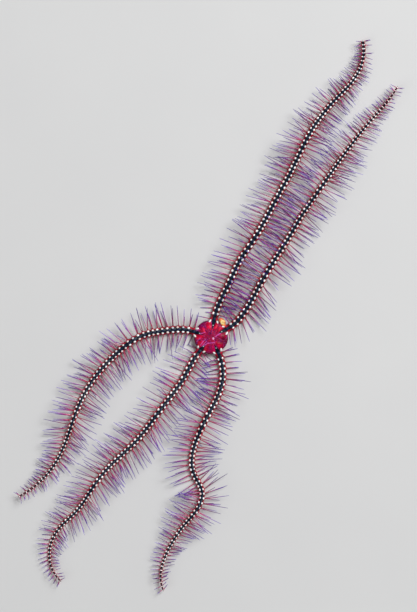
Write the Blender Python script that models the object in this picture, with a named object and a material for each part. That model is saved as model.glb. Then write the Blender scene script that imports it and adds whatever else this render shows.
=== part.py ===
"""A brittle star at life size, lying on the floor with its five arms spread.

The body is a central disc and five arms, and each arm is divided into three lengths.
Each arm is a row of jointed segments, with long spines standing out from both flanks.
Units are metres, +Z is up, and the origin is on the floor under the middle of the disc.
"""

import math
import random

import bmesh
import bpy
import numpy as np
from mathutils import Matrix, Vector

MM = 0.001
GAP = 0.3 * MM  # clear space between two pieces that touch
SEED = 7

# The disc
LOBE_RADIUS = 6.1 * MM  # margin between two arms
SHOULDER_RADIUS = 5.9 * MM  # margin beside an arm
DISC_HEIGHT = 3.7 * MM
MARGIN_HEIGHT = 2.7 * MM
SOLE_RADIUS = 4.7 * MM  # flat underside
DISC_POINTS = 50
SHIELD_EDGE, SHIELD_RAISE = 0.16 * MM, 0.36 * MM  # a plate's rim and middle above the dome
SHIELD_SINK = 0.9 * MM  # underside of a plate below the dome
# Outline of a radial shield beside an arm: distance from the disc's middle,
# bearing from the arm's line as a share of the way to the middle between two arms
SHIELD_OUTLINE = (
    (5.6 * MM, 0.24),
    (4.0 * MM, 0.17),
    (2.3 * MM, 0.22),
    (2.1 * MM, 0.52),
    (3.9 * MM, 0.84),
    (4.9 * MM, 0.84),
    (5.6 * MM, 0.58),
)
SHIELD_MIDDLE = (4.5 * MM, 0.5)
NOTCH_SIDE = 0.3 * MM  # clear space at each side of an arm's root
MOUTH_INNER, MOUTH_OUTER = 0.9 * MM, 3.2 * MM
MOUTH_WIDTH, MOUTH_DEPTH = 0.55 * MM, 0.9 * MM

# The arms
ROOT_RADIUS = 5.3 * MM  # where an arm's flat end faces the disc
ARM_WIDTH, ARM_HEIGHT = 3.0 * MM, 2.2 * MM
SEGMENT_TAPER = 0.16  # the first segment is longer than the average by this share, the last one shorter
BODY_STEP = 2  # segments to one ring of the body
WAIST = 0.88  # width of a segment at its joint, against its widest
TIP_END = 0.6  # the same at the arm's end
STEP = 0.25 * MM
TIP_WIDTH = 0.55 * MM
ARCH_REACH = 0.13  # half of an arch's span, as a share of the arm
TIP_LIFT_FROM = 0.88
PARTS = ("base", "middle", "tip")

# The spines
SPINE_LENGTH = 9.8 * MM
SHORTEST_SPINE = 2.8 * MM
SPINE_ROOT, SPINE_END = 0.33 * MM, 0.17 * MM  # radius of the triangle's corners
SPINE_SIDES = 3
FIRST_SPINE = 7.5 * MM  # from the disc's middle
LOWEST_SPINE = 0.45 * MM  # lowest a spine's tip may be above the floor
LOWEST_POINT = 0.04 * MM
# Rows of spines on a flank: shares of half the width and of the height, rise in degrees, share of full length
SPINE_ROWS = ((0.92, 0.36, 4, 0.95), (0.90, 0.52, 22, 1.0), (0.76, 0.72, 44, 0.92), (0.52, 0.90, 64, 0.76))
SPINE_TURNS = ((1,), (0, 2), (3,))  # rows that carry a spine on one segment after another

# Each arm: bearing of its root and headings at even steps along it, in degrees from +X,
# with its number of segments, the shares of its girth lost evenly and near the tip,
# its arches as (share of the arm, height), where it stands clear of the floor, and how far its spines
# lean towards the tip, in degrees at the root and at the tip, on the right and on the left flank
ARMS = {
    "arm_top": {
        "root": 80,
        "length": 116.6 * MM,
        "segments": 71,
        "taper": (0.18, 0.34),
        "headings": (80, 63, 66, 55, 61, 62, 62, 65, 59, 50, 46, 70, 101),
        "arches": ((0.27, 1.6 * MM), (0.62, 2.2 * MM)),
        "tip_lift": 1.2 * MM,
        "lean": ((4, -6), (-11, -2)),
    },
    "arm_right": {
        "root": 27,
        "length": 108 * MM,
        "segments": 66,
        "taper": (0.36, 0.44),
        "headings": (27, 55, 62, 59, 57, 60, 56, 55, 55, 53, 50, 49, 60),
        "arches": ((0.24, 1.2 * MM), (0.58, 1.8 * MM)),
        "tip_lift": 2.4 * MM,
        "lean": ((-26, 26), (0, 0)),
    },
    "arm_lower_right": {
        "root": 295,
        "length": 94 * MM,
        "segments": 58,
        "taper": (0.36, 0.44),
        "headings": (295, 274, 252, 241, 245, 252, 273, 300, 248, 230, 236, 245, 262, 292),
        "arches": ((0.30, 2.0 * MM), (0.64, 1.6 * MM)),
        "tip_lift": 2.0 * MM,
        "lean": ((0, 8), (6, -26)),
    },
    "arm_lower_left": {
        "root": 231,
        "length": 104 * MM,
        "segments": 64,
        "taper": (0.36, 0.44),
        "headings": (231, 243, 233, 233, 233, 224, 224, 234, 237, 222, 244, 280, 316),
        "arches": ((0.26, 1.4 * MM), (0.60, 2.4 * MM)),
        "tip_lift": 1.6 * MM,
        "lean": ((8, 20), (8, 22)),
    },
    "arm_left": {
        "root": 162,
        "length": 95 * MM,
        "segments": 58,
        "taper": (0.36, 0.44),
        "headings": (162, 184, 191, 213, 223, 230, 239, 248, 251, 246, 234, 220, 208),
        "arches": ((0.25, 1.8 * MM), (0.63, 1.8 * MM)),
        "tip_lift": 2.6 * MM,
        "lean": ((0, 22), (8, 14)),
    },
}

DISC_COLOUR = (0.42, 0.02, 0.06, 1.0)
ARM_COLOUR = (0.30, 0.02, 0.05, 1.0)


def clear_scene():
    for old in list(bpy.data.objects):
        bpy.data.objects.remove(old, do_unlink=True)


def make_material(name, colour, roughness):
    material = bpy.data.materials.new(name)
    material.use_nodes = True
    shader = material.node_tree.nodes["Principled BSDF"]
    shader.inputs["Base Color"].default_value = colour
    shader.inputs["Roughness"].default_value = roughness
    shader.inputs["Metallic"].default_value = 0.0
    return material


def make_object(name, points, faces, collection=None):
    mesh = bpy.data.meshes.new(name)
    mesh.from_pydata([tuple(p) for p in points], [], faces)
    mesh.update()
    made = bpy.data.objects.new(name, mesh)
    (collection or bpy.context.scene.collection).objects.link(made)
    return made


def smooth_value(values, share):
    """The value at a share of a row of evenly spaced values, on a smooth curve through them."""
    last = len(values) - 1
    place = min(max(share, 0.0), 1.0) * last
    i = min(int(place), last - 1)
    t = place - i
    before, start, end = values[max(i - 1, 0)], values[i], values[i + 1]
    after = values[min(i + 2, last)]
    linear = (end - before) * t
    square = (2 * before - 5 * start + 4 * end - after) * t**2
    cube = (3 * start - before - 3 * end + after) * t**3
    return start + 0.5 * (linear + square + cube)


def ease(low, high, value):
    t = min(max((value - low) / (high - low), 0.0), 1.0)
    return t * t * (3 - 2 * t)


def lift_at(arm, share):
    """Height of an arm's underside above the floor."""
    lift = arm["tip_lift"] * ease(TIP_LIFT_FROM, 1.0, share)
    for middle, height in arm["arches"]:
        away = abs(share - middle) / ARCH_REACH
        if away < 1:
            lift += height * (0.5 + 0.5 * math.cos(math.pi * away)) ** 2
    return lift


def course_of(arm):
    """Points under the middle of an arm, from its root to its tip, with the heading at each."""
    bearing = math.radians(arm["root"])
    x, y = ROOT_RADIUS * math.cos(bearing), ROOT_RADIUS * math.sin(bearing)
    count = round(arm["length"] / STEP)
    course = []
    for i in range(count + 1):
        share = i / count
        heading = math.radians(smooth_value(arm["headings"], share))
        course.append((Vector((x, y, lift_at(arm, share))), heading))
        x += STEP * math.cos(heading)
        y += STEP * math.sin(heading)
    return course


def frame_at(course, share):
    """Place under the arm's middle, with the ways forward, left and up there."""
    place = min(max(share, 0.0), 1.0) * (len(course) - 1)
    i = min(int(place), len(course) - 2)
    start, heading = course[i]
    end, next_heading = course[i + 1]
    point = start.lerp(end, place - i)
    heading += (next_heading - heading) * (place - i)
    left = Vector((-math.sin(heading), math.cos(heading), 0.0))
    level = Vector((math.cos(heading), math.sin(heading), 0.0))
    forward = (level + Vector((0, 0, (end.z - start.z) / STEP))).normalized()
    return point, forward, left, forward.cross(left)


def girth_at(arm, share):
    """Width and height of an arm against their largest. It narrows slowly, then fast near the tip."""
    evenly, late = arm["taper"]
    return max(1 - evenly * share - late * share**5, TIP_WIDTH / ARM_WIDTH)


def section(width, height):
    """One ring of an arm, flat below and crowned above, as (left, up) from the middle of the underside."""
    return (
        (-0.30 * width, 0.0),
        (0.30 * width, 0.0),
        (0.50 * width, 0.40 * height),
        (0.36 * width, 0.84 * height),
        (0.0, height),
        (-0.36 * width, 0.84 * height),
        (-0.50 * width, 0.40 * height),
    )


def joint_share(arm, joint):
    """Share of the arm where a joint stands, counted from the root."""
    even = joint / arm["segments"]
    return even * (1 + SEGMENT_TAPER) - SEGMENT_TAPER * even**2


def part_joints(arm, part):
    """First and last joint of one of an arm's three lengths."""
    i = PARTS.index(part)
    cuts = [BODY_STEP * round(arm["segments"] * k / len(PARTS) / BODY_STEP) for k in range(len(PARTS))]
    cuts.append(arm["segments"])
    return cuts[i], cuts[i + 1]


def part_span(arm, part):
    """Shares of the arm where one of its three lengths starts and ends, half a gap from each cut."""
    first, last = part_joints(arm, part)
    half_gap = GAP / 2 / arm["length"]
    start = joint_share(arm, first) + (half_gap if first else 0.0)
    end = joint_share(arm, last) - (half_gap if last < arm["segments"] else 0.0)
    return start, end


def ring_stations(arm, part):
    """Shares of the arm where rings stand, with the width of each against the arm's own."""
    start, end = part_span(arm, part)
    first, last = part_joints(arm, part)
    stations = [(start, WAIST)]
    for joint in range(first, last, BODY_STEP):
        reach = min(BODY_STEP, last - joint)
        stations.append((joint_share(arm, joint + 0.7 * reach), 1.0))
        stations.append((min(joint_share(arm, joint + reach), end), WAIST))
    if last == arm["segments"]:
        stations[-1] = (end, TIP_END)
    return stations


def arm_body(name, arm, part, course):
    """The closed, jointed body of one length of an arm, without its spines."""
    points, faces = [], []
    sides = len(section(1, 1))
    stations = ring_stations(arm, part)
    for share, swell in stations:
        point, _, left, up = frame_at(course, share)
        size = girth_at(arm, share) * swell
        for across, above in section(ARM_WIDTH * size, ARM_HEIGHT * size):
            points.append(point + left * across + up * above)
    for ring in range(len(stations) - 1):
        for side in range(sides):
            a, b = ring * sides + side, ring * sides + (side + 1) % sides
            faces.append((a, b, b + sides, a + sides))
    faces.append(tuple(reversed(range(sides))))
    faces.append(tuple(range(len(points) - sides, len(points))))
    return make_object(name, points, faces)


def spine_length(share):
    """Length of a spine against the longest. They shorten at the root and over the arm's outer third."""
    return (0.62 + 0.38 * ease(0.0, 0.12, share)) * (1 - 0.74 * ease(0.6, 1.03, share))


def spine_way(forward, outward, up, rise, lean):
    """The way a spine points: out from the flank, raised and leaning along the arm by degrees."""
    rise, lean = math.radians(rise), math.radians(lean)
    level = outward * math.cos(lean) + forward * math.sin(lean)
    return level * math.cos(rise) + up * math.sin(rise)


def spines_of(arm, part, course, draw):
    """Root, end and scale of each spine on one length of an arm."""
    first, last = part_joints(arm, part)
    spines = []
    for segment in range(first, last):
        share = joint_share(arm, segment + 0.6)
        point, forward, left, up = frame_at(course, share)
        size = girth_at(arm, share)
        if point.xy.length < FIRST_SPINE:
            continue
        for flank, side in enumerate((-1, 1)):
            at_root, at_tip = arm["lean"][flank]
            lean = at_root + (at_tip - at_root) * share
            for row in SPINE_TURNS[(segment + flank) % len(SPINE_TURNS)]:
                out, above, rise, row_length = SPINE_ROWS[row]
                root = (
                    point
                    + left * (side * out * ARM_WIDTH / 2 * size)
                    + up * (above * ARM_HEIGHT * size)
                    + forward * draw.uniform(-0.2, 0.2) * MM
                )
                rise, turn = rise + draw.uniform(-7, 9), lean + draw.uniform(-13, 13)
                way = spine_way(forward, left * side, up, rise, turn)
                length = SPINE_LENGTH * row_length * spine_length(share) * draw.uniform(0.86, 1.08)
                tip = root + way * length
                tip.z = max(tip.z, LOWEST_SPINE)
                spines.append((root, tip, 0.82 + 0.18 * size))
    return spines


def apart(start, end, starts, ends):
    """Least distance from one straight piece to each of many."""
    d1, d2 = end - start, ends - starts
    r = start - starts
    a, e = d1 @ d1, np.einsum("ij,ij->i", d2, d2)
    b, c, f = d2 @ d1, r @ d1, np.einsum("ij,ij->i", d2, r)
    spread = np.maximum(a * e - b * b, 1e-18)
    s = np.clip((b * f - c * e) / spread, 0, 1)
    t = np.clip((b * s + f) / e, 0, 1)
    s = np.clip((b * t - c) / a, 0, 1)
    near = start + s[:, None] * d1 - (starts + t[:, None] * d2)
    return np.sqrt(np.einsum("ij,ij->i", near, near))


def clear_of_others(spines, bodies):
    """Shortens each spine until it clears every other piece, and leaves out one that stays in the way."""
    kept = {name: [] for name in spines}
    done_names, done_starts, done_ends, done_radii = [], [], [], []
    for name, rows in bodies.items():
        for start, end, radius in rows:
            done_names.append(name)
            done_starts.append(start)
            done_ends.append(end)
            done_radii.append(radius)
    for name, rows in spines.items():
        for root, tip, thick in rows:
            radius = SPINE_ROOT * thick
            others = np.array([other != name for other in done_names])
            starts = np.array(done_starts)[others]
            ends = np.array(done_ends)[others]
            room = np.array(done_radii)[others] + radius + GAP
            length = (tip - root).length
            while length > SHORTEST_SPINE:
                end = root + (tip - root).normalized() * length
                if (apart(np.array(root), np.array(end), starts, ends) > room).all():
                    break
                length *= 0.93
            else:
                continue
            kept[name].append((root, end, thick))
            done_names.append(name)
            done_starts.append(np.array(root))
            done_ends.append(np.array(end))
            done_radii.append(radius)
    return kept


def body_lines(arm, part, course):
    """An arm length as short straight pieces with a radius, for keeping spines clear of it."""
    start, end = part_span(arm, part)
    count = 12
    rows = []
    for i in range(count):
        ends = []
        for share in (start + (end - start) * i / count, start + (end - start) * (i + 1) / count):
            point, _, _, up = frame_at(course, share)
            ends.append(np.array(point + up * (ARM_HEIGHT * girth_at(arm, share) / 2)))
        rows.append((ends[0], ends[1], ARM_WIDTH * girth_at(arm, start) / 2))
    return rows


def make_spine(root, tip, thick, roll, collection):
    """A tapered spine with three sides, closed, from inside the arm to its blunt end."""
    way = (tip - root).normalized()
    turn = way.to_track_quat("Z", "Y").to_matrix() @ Matrix.Rotation(roll, 3, "Z")
    sunk = root - way * (0.45 * MM * thick)
    points = []
    for centre, radius in ((sunk, SPINE_ROOT * thick), (tip, SPINE_END * thick)):
        for i in range(SPINE_SIDES):
            angle = 2 * math.pi * i / SPINE_SIDES
            point = centre + turn @ Vector((math.cos(angle), math.sin(angle), 0)) * radius
            point.z = max(point.z, LOWEST_POINT)
            points.append(point)
    faces = [(2, 1, 0), (3, 4, 5)]
    for i in range(SPINE_SIDES):
        j = (i + 1) % SPINE_SIDES
        faces.append((i, j, j + SPINE_SIDES, i + SPINE_SIDES))
    return make_object("spine", points, faces, collection)


def join_with(made, collection):
    """Fuses a collection's closed meshes with an object, and keeps the largest closed surface."""
    union = made.modifiers.new("union", "BOOLEAN")
    union.operation = "UNION"
    union.operand_type = "COLLECTION"
    union.collection = collection
    union.solver = "MANIFOLD"
    apply_modifiers(made)
    remove_collection(collection)
    keep_largest(made)


def cut_with(made, collection):
    cut = made.modifiers.new("cut", "BOOLEAN")
    cut.operation = "DIFFERENCE"
    cut.operand_type = "COLLECTION"
    cut.collection = collection
    cut.solver = "MANIFOLD"
    apply_modifiers(made)
    remove_collection(collection)


def apply_modifiers(made):
    bpy.context.view_layer.update()
    graph = bpy.context.evaluated_depsgraph_get()
    mesh = bpy.data.meshes.new_from_object(made.evaluated_get(graph))
    made.modifiers.clear()
    made.data = mesh


def new_collection(name):
    collection = bpy.data.collections.new(name)
    bpy.context.scene.collection.children.link(collection)
    return collection


def remove_collection(collection):
    for used in list(collection.objects):
        bpy.data.objects.remove(used, do_unlink=True)
    bpy.data.collections.remove(collection)


def keep_largest(made):
    work = bmesh.new()
    work.from_mesh(made.data)
    left = set(work.verts)
    shells = []
    while left:
        shell, queue = set(), [left.pop()]
        while queue:
            vert = queue.pop()
            shell.add(vert)
            for edge in vert.link_edges:
                other = edge.other_vert(vert)
                if other in left:
                    left.remove(other)
                    queue.append(other)
        shells.append(shell)
    shells.sort(key=len)
    for shell in shells[:-1]:
        bmesh.ops.delete(work, geom=list(shell), context="VERTS")
    work.to_mesh(made.data)
    work.free()


def margin_radius(bearing):
    """Distance from the disc's middle to its margin, which swells between the arms."""
    nearest = min(abs((bearing - arm["root"] + 180) % 360 - 180) for arm in ARMS.values())
    return SHOULDER_RADIUS + (LOBE_RADIUS - SHOULDER_RADIUS) * ease(10, 36, nearest)


def dome_height(radius):
    """Height of the disc's upper side at a distance from its middle."""
    share = min(radius / SHOULDER_RADIUS, 1.15)
    return DISC_HEIGHT - (DISC_HEIGHT - MARGIN_HEIGHT) * share**2.4


def disc_body():
    """The disc: a low dome above a flat sole, with its margin swelling between the arms."""
    # Rings from the top outwards and down: share of the margin's radius, and height or None on the dome
    rings = ((0.36, None), (0.68, None), (0.90, None), (1.0, 2.15 * MM), (0.97, 1.0 * MM))
    points = [Vector((0, 0, DISC_HEIGHT))]
    for share, height in rings:
        for i in range(DISC_POINTS):
            bearing = 360 * i / DISC_POINTS
            radius = share * margin_radius(bearing)
            way = Vector((math.cos(math.radians(bearing)), math.sin(math.radians(bearing)), 0))
            point = way * radius
            point.z = dome_height(radius) if height is None else height
            points.append(point)
    sole = len(points)
    for i in range(DISC_POINTS):
        angle = 2 * math.pi * i / DISC_POINTS
        points.append(Vector((math.cos(angle), math.sin(angle), 0)) * SOLE_RADIUS)
    faces = []
    for i in range(DISC_POINTS):
        j = (i + 1) % DISC_POINTS
        faces.append((0, 1 + i, 1 + j))
        for ring in range(len(rings)):
            a = 1 + ring * DISC_POINTS
            faces.append((a + i, a + DISC_POINTS + i, a + DISC_POINTS + j, a + j))
    faces.append(tuple(reversed(range(sole, sole + DISC_POINTS))))
    return make_object("disc", points, faces)


def half_wedge(bearing, side):
    """Degrees from an arm's line to the middle between it and the next arm on one side."""
    turns = [side * (arm["root"] - bearing) % 360 for arm in ARMS.values()]
    return min(turn for turn in turns if turn > 0) / 2


def make_shield(bearing, side, collection):
    """One raised plate of the pair that flanks an arm's line on the disc."""
    wedge = half_wedge(bearing, side)
    outline = SHIELD_OUTLINE[::side]
    points = []
    for lift in (SHIELD_EDGE, -SHIELD_SINK):
        for radius, turn in outline:
            points.append(disc_point(bearing + side * wedge * turn, radius, lift))
    points.append(disc_point(bearing + side * wedge * SHIELD_MIDDLE[1], SHIELD_MIDDLE[0], SHIELD_RAISE))
    count = len(outline)
    faces = [tuple(range(count, 2 * count))]
    for i in range(count):
        j = (i + 1) % count
        faces.append((j, i, 2 * count))
        faces.append((i, j, j + count, i + count))
    return make_object("shield", points, faces, collection)


def disc_point(bearing, radius, lift):
    """A point over the dome of the disc."""
    angle = math.radians(bearing)
    return Vector((radius * math.cos(angle), radius * math.sin(angle), dome_height(radius) + lift))


def make_box(centre, size, bearing, collection):
    made = make_object("box", *box_mesh(size), collection)
    made.data.transform(Matrix.Translation(centre) @ Matrix.Rotation(bearing, 4, "Z"))
    return made


def box_mesh(size):
    x, y, z = (half / 2 for half in size)
    points = [(i * x, j * y, k * z) for k in (-1, 1) for j in (-1, 1) for i in (-1, 1)]
    faces = [(0, 2, 3, 1), (4, 5, 7, 6), (0, 1, 5, 4), (2, 6, 7, 3), (0, 4, 6, 2), (1, 3, 7, 5)]
    return points, faces


def make_disc():
    """The disc with its raised shields, a notch where each arm meets it, and the mouth's five slits."""
    disc = disc_body()
    shields, cuts = new_collection("shields"), new_collection("cuts")
    for arm in ARMS.values():
        for side in (-1, 1):
            make_shield(arm["root"], side, shields)
        bearing = math.radians(arm["root"])
        forward = Vector((math.cos(bearing), math.sin(bearing), 0))
        notch_start = ROOT_RADIUS - GAP
        notch = (4 * MM, ARM_WIDTH * WAIST + 2 * NOTCH_SIDE, 4 * DISC_HEIGHT)
        make_box(forward * (notch_start + notch[0] / 2), notch, bearing, cuts)
        slit = (MOUTH_OUTER - MOUTH_INNER, MOUTH_WIDTH, 2 * MOUTH_DEPTH)
        make_box(forward * (MOUTH_INNER + MOUTH_OUTER) / 2, slit, bearing, cuts)
    join_with(disc, shields)
    cut_with(disc, cuts)
    return disc


def main():
    clear_scene()
    draw = random.Random(SEED)
    disc_material = make_material("disc_skin", DISC_COLOUR, 0.45)
    arm_material = make_material("arm_plates", ARM_COLOUR, 0.4)
    disc = make_disc()
    disc.data.materials.append(disc_material)
    spines, lines, bodies = {}, {}, {}
    for arm_name, arm in ARMS.items():
        course = course_of(arm)
        for part in PARTS:
            name = f"{arm_name}_{part}"
            bodies[name] = arm_body(name, arm, part, course)
            spines[name] = spines_of(arm, part, course, draw)
            lines[name] = body_lines(arm, part, course)
    for name, rows in clear_of_others(spines, lines).items():
        collection = new_collection("spines")
        for root, tip, thick in rows:
            make_spine(root, tip, thick, draw.uniform(0, 2 * math.pi), collection)
        join_with(bodies[name], collection)
        bodies[name].data.materials.append(arm_material)


main()
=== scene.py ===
"""The look of a brittle star that lies on the floor with its five arms spread.

A plated skin covers the disc and each arm, with a dark stripe along the arm's upper side, a pair of
white beads on every segment, and fans of thorny, glassy spines on both flanks.
"""

import math

import bpy
import numpy as np
from mathutils.kdtree import KDTree
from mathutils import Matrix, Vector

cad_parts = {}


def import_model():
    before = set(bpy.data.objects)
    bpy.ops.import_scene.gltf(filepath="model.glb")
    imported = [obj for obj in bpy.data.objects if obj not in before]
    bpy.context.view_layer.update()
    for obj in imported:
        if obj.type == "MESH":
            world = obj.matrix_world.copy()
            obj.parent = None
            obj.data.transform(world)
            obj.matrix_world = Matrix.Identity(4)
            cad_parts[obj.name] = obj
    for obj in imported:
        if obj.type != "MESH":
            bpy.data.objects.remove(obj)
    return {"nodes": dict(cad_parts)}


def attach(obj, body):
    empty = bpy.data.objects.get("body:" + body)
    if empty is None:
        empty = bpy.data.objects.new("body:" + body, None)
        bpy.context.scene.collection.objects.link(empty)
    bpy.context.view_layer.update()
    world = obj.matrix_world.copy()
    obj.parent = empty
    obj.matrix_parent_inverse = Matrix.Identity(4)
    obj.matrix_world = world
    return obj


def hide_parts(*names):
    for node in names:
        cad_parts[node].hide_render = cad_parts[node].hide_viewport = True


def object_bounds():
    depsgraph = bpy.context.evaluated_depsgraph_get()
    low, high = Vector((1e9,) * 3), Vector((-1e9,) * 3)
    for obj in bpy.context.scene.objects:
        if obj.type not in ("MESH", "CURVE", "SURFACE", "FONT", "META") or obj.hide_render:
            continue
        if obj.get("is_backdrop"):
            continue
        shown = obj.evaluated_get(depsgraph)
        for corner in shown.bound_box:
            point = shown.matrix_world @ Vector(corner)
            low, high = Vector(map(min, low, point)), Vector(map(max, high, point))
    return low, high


MM = 0.001
SEED = 11
UP = np.array((0.0, 0.0, 1.0))

# The disc, as in the solids
LOBE_RADIUS, SHOULDER_RADIUS = 6.1 * MM, 5.9 * MM
DISC_HEIGHT, MARGIN_HEIGHT = 3.7 * MM, 2.7 * MM
SOLE_RADIUS = 4.6 * MM
LOBE_FROM = 10  # degrees from an arm's line to where the shoulder starts to swell into a lobe
TOP_SHARE = 0.93  # share of the margin's radius that the rings of the top reach
DISC_AROUND = 480  # points round the disc
TOP_RINGS = 112
SIDE_STEPS = 6  # rings to each span of the side's profile
UNDER_RINGS = 45
SCALE_SIZE, SCALE_HEIGHT, SCALE_JITTER = 0.46 * MM, 0.055 * MM, 0.07 * MM
GOLDEN_ANGLE = 180 * (3 - math.sqrt(5))  # degrees from one scale to the next
MOUTH_INNER, MOUTH_OUTER, MOUTH_WIDTH, MOUTH_DEPTH = 0.7 * MM, 3.1 * MM, 0.5 * MM, 0.65 * MM
# A radial shield: its edges as shares of the way from an arm's line to the middle between two arms, against
# the radius in millimetres, and its end in millimetres against that share
SHIELD_INNER = ((2.2, 0.26), (4.0, 0.17), (5.8, 0.24))
SHIELD_OUTER = ((2.1, 0.48), (3.0, 0.72), (3.9, 0.86), (4.9, 0.86), (5.7, 0.62))
SHIELD_END = ((0.58, 5.6), (0.86, 5.0))
SHIELD_START, SHIELD_ROUND = 2.15 * MM, 0.12 * MM
# Plates of the underside: the arms' bands, and a rounded shield between each two arms
BAND_HALF, BAND_PLATE = 1.15 * MM, 1.0 * MM
SEAM_HALF, SEAM_RISE = 0.09 * MM, 0.07 * MM
ORAL_PLACE, ORAL_ACROSS, ORAL_ALONG = 3.8 * MM, 0.85 * MM, 0.55 * MM

# The arms, as in the solids
ROOT_RADIUS = 5.3 * MM
ARM_WIDTH, ARM_HEIGHT = 3.0 * MM, 2.2 * MM
ARM_TAPER = (0.36, 0.44)  # shares of the girth lost evenly and near the tip, unless an arm has its own
SEGMENT_TAPER = 0.16
STEP = 0.25 * MM  # between points of an arm's course
TIP_WIDTH = 0.55 * MM
ARCH_REACH = 0.13  # half an arch's length, as a share of the arm
TIP_LIFT_FROM = 0.88  # share of the arm
LEAD_IN = 1.25 * MM  # length of skin that runs on into the disc, rising and narrowing
TUCK_FROM, TUCK_RISE, TUCK_NARROW = -0.55, 0.45 * MM, 0.2  # its start in segments, rise, and width lost
TUCK_RINGS = (1.0, 0.75, 0.5, 0.2)  # where its rings lie, as shares of its start
WAIST = 0.9  # girth at a joint against that inside a segment
# Rounding of the tip: segments before the end, and share of the girth there
TIP_ROUND = ((0.35, 1.0), (0.12, 0.8), (0.0, 0.3))
TIP_RINGS = (0.35, 0.22, 0.12, 0.05, 0.0)
SECTION_SAMPLES = 800
AROUND = 44  # points round an arm
RING_PHASES = (0.0, 0.06, 0.16, 0.28, 0.41, 0.54, 0.66, 0.76, 0.85, 0.93)
# Half of an arm's section from the middle of the underside to the crown: shares of its width and height
SECTION_ACROSS = (0.0, 0.14, 0.26, 0.37, 0.45, 0.485, 0.465, 0.41, 0.32, 0.19, 0.0)
SECTION_UP = (0.0, 0.0, 0.015, 0.13, 0.28, 0.42, 0.58, 0.73, 0.86, 0.945, 0.985)
PLATE_HALF = 0.29  # half width of the upper plates, as a share of the arm's width

# The spines
SPINE_LENGTH = 9.8 * MM
SPINE_RADIUS = 0.15 * MM
SPINE_SIDES = 6
FIRST_SPINE = 6.6 * MM  # from the disc's middle
LOWEST_SPINE = 0.2 * MM  # height of a spine's end
LOWEST_POINT = 0.04 * MM  # of its skin
SHORTEST_SPINE = 1.2 * MM
SPINE_PLACE, SPINE_JITTER, SPINE_SLIP = 0.62, 0.05, 0.12  # shares of a segment, and millimetres along
RISE_SPREAD, LEAN_SPREAD, LEAN_WAVE = 4, 4.5, 3  # degrees
LENGTH_SPREAD = (0.8, 1.08)
BROKEN_SHARE, BROKEN_LENGTH = 0.07, (0.45, 0.7)
CLEARANCE = 0.25 * MM  # from every arm's body, but for the spine's own stretch, a share of its arm
OWN_STRETCH = 0.06
SPINELETS = 110  # short spines scattered over the disc, between its shields
SPINELET_LENGTH, SPINELET_THICK = (0.45 * MM, 0.95 * MM), 0.42
# Rows on a flank: shares of half the width and of the height, rise in degrees, share of the full length,
# and share of the segments that carry one
SPINE_ROWS = (
    (0.86, 0.22, -2, 0.66, 0.62),
    (0.95, 0.42, 14, 0.97, 0.84),
    (0.92, 0.62, 35, 1.0, 0.74),
    (0.74, 0.81, 60, 0.84, 0.48),
)
# Shares of a spine's length, and of its radius there
SPINE_ALONG = (-0.05, 0.0, 0.025, 0.05, 0.18, 0.34, 0.5, 0.66, 0.8, 0.92, 0.985)
SPINE_GIRTH = (0.9, 1.25, 1.45, 0.95, 1.0, 0.96, 0.88, 0.78, 0.68, 0.55, 0.36)
THORNS, THORN_TURN = 16, 2.4  # to a spine, and radians from one to the next
THORN_HEIGHT, THORN_BASE = 0.10 * MM, 0.09 * MM
PATCH = 0.003  # size of a spine's patch on the map

# The beads
BEAD_OUT = 0.268  # from the arm's middle line, as a share of its width
BEAD_PLACE = 0.70  # share of the segment
BEAD_HALF = (0.47 * MM, 0.40 * MM, 0.26 * MM)  # along, across, up
BEAD_FOOT = -0.45  # quarter turns from its widest ring down to its lowest
BAR_FROM = 0.9  # share of the arm from where each pair of beads is drawn out into a bar
MARK_ENDS = ((5.2 * MM, 1.58 * MM, 3.06 * MM), (6.2 * MM, 1.08 * MM, 2.14 * MM))  # along the arm, across, up
MARK_HALF, MARK_TONE = (0.82 * MM, 0.37 * MM, 0.30 * MM), 0.3
DOT_RADIUS, DOT_HALF, DOT_TONE = 4.3 * MM, (0.22 * MM, 0.20 * MM, 0.12 * MM), 0.0

# The disc's colours, placed in millimetres: fine lilac lines, a pale spot with its reach, brighter and
# darker patches of painted highlight and painted shade, partly the disc's own tone, and an amber swelling
LILAC_LINES = (
    ((1.5, 0.1), (2.3, 0.75), (3.3, 1.35)),
    ((-3.8, -2.9), (-3.0, -1.8), (-1.95, -0.7)),
    ((-3.3, -3.3), (-2.4, -2.3), (-1.6, -1.5)),
    ((-5.1, -1.6), (-4.4, -0.9), (-3.9, -0.3)),
    ((-2.6, -3.0), (-1.2, -2.2), (-0.4, -2.1), (1.3, -1.9)),
    ((-5.9, 2.1), (-4.0, 2.8)),
    ((-3.7, 1.2), (-2.2, 1.7)),
)
LINE_HALF = 0.13
PALE_SPOT = (0.83, -0.47, 0.40)
# Patches: middle, reach, brightness (painted highlight above 0, painted shade below), share of violet
PATCHES = (
    (-1.4, 3.3, 0.9, 0.9, -0.1),
    (-2.1, 2.4, 0.9, 0.7, 0.1),
    (-5.3, -2.6, 1.2, 0.6, -0.2),
    (-4.4, -0.6, 1.2, 0.5, 0.0),
    (-3.4, 4.4, 1.5, -0.6, 0.5),
    (0.6, -4.0, 1.5, -0.1, 0.55),
    (4.6, -1.2, 1.8, -0.8, 0.1),
    (2.6, 0.9, 1.0, -0.2, 0.5),
    (2.6, 3.3, 1.1, 0.45, 0.0),
    (0.0, 0.3, 1.4, -0.3, 0.2),
)
AMBER_MIDDLE, AMBER_WAY = (4.15 * MM, 5.3 * MM, 2.25 * MM), (0.48, -0.88, 0.0)
# Lobes of the amber swelling, in millimetres: places along and across it, half sizes along, across and up
AMBER_LOBES = (
    (0.0, 0.0, 1.75, 0.95, 0.66),
    (-1.05, -0.25, 0.85, 0.72, 0.72),
    (0.15, 0.30, 0.95, 0.80, 0.74),
    (1.05, -0.10, 0.80, 0.74, 0.60),
)

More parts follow.
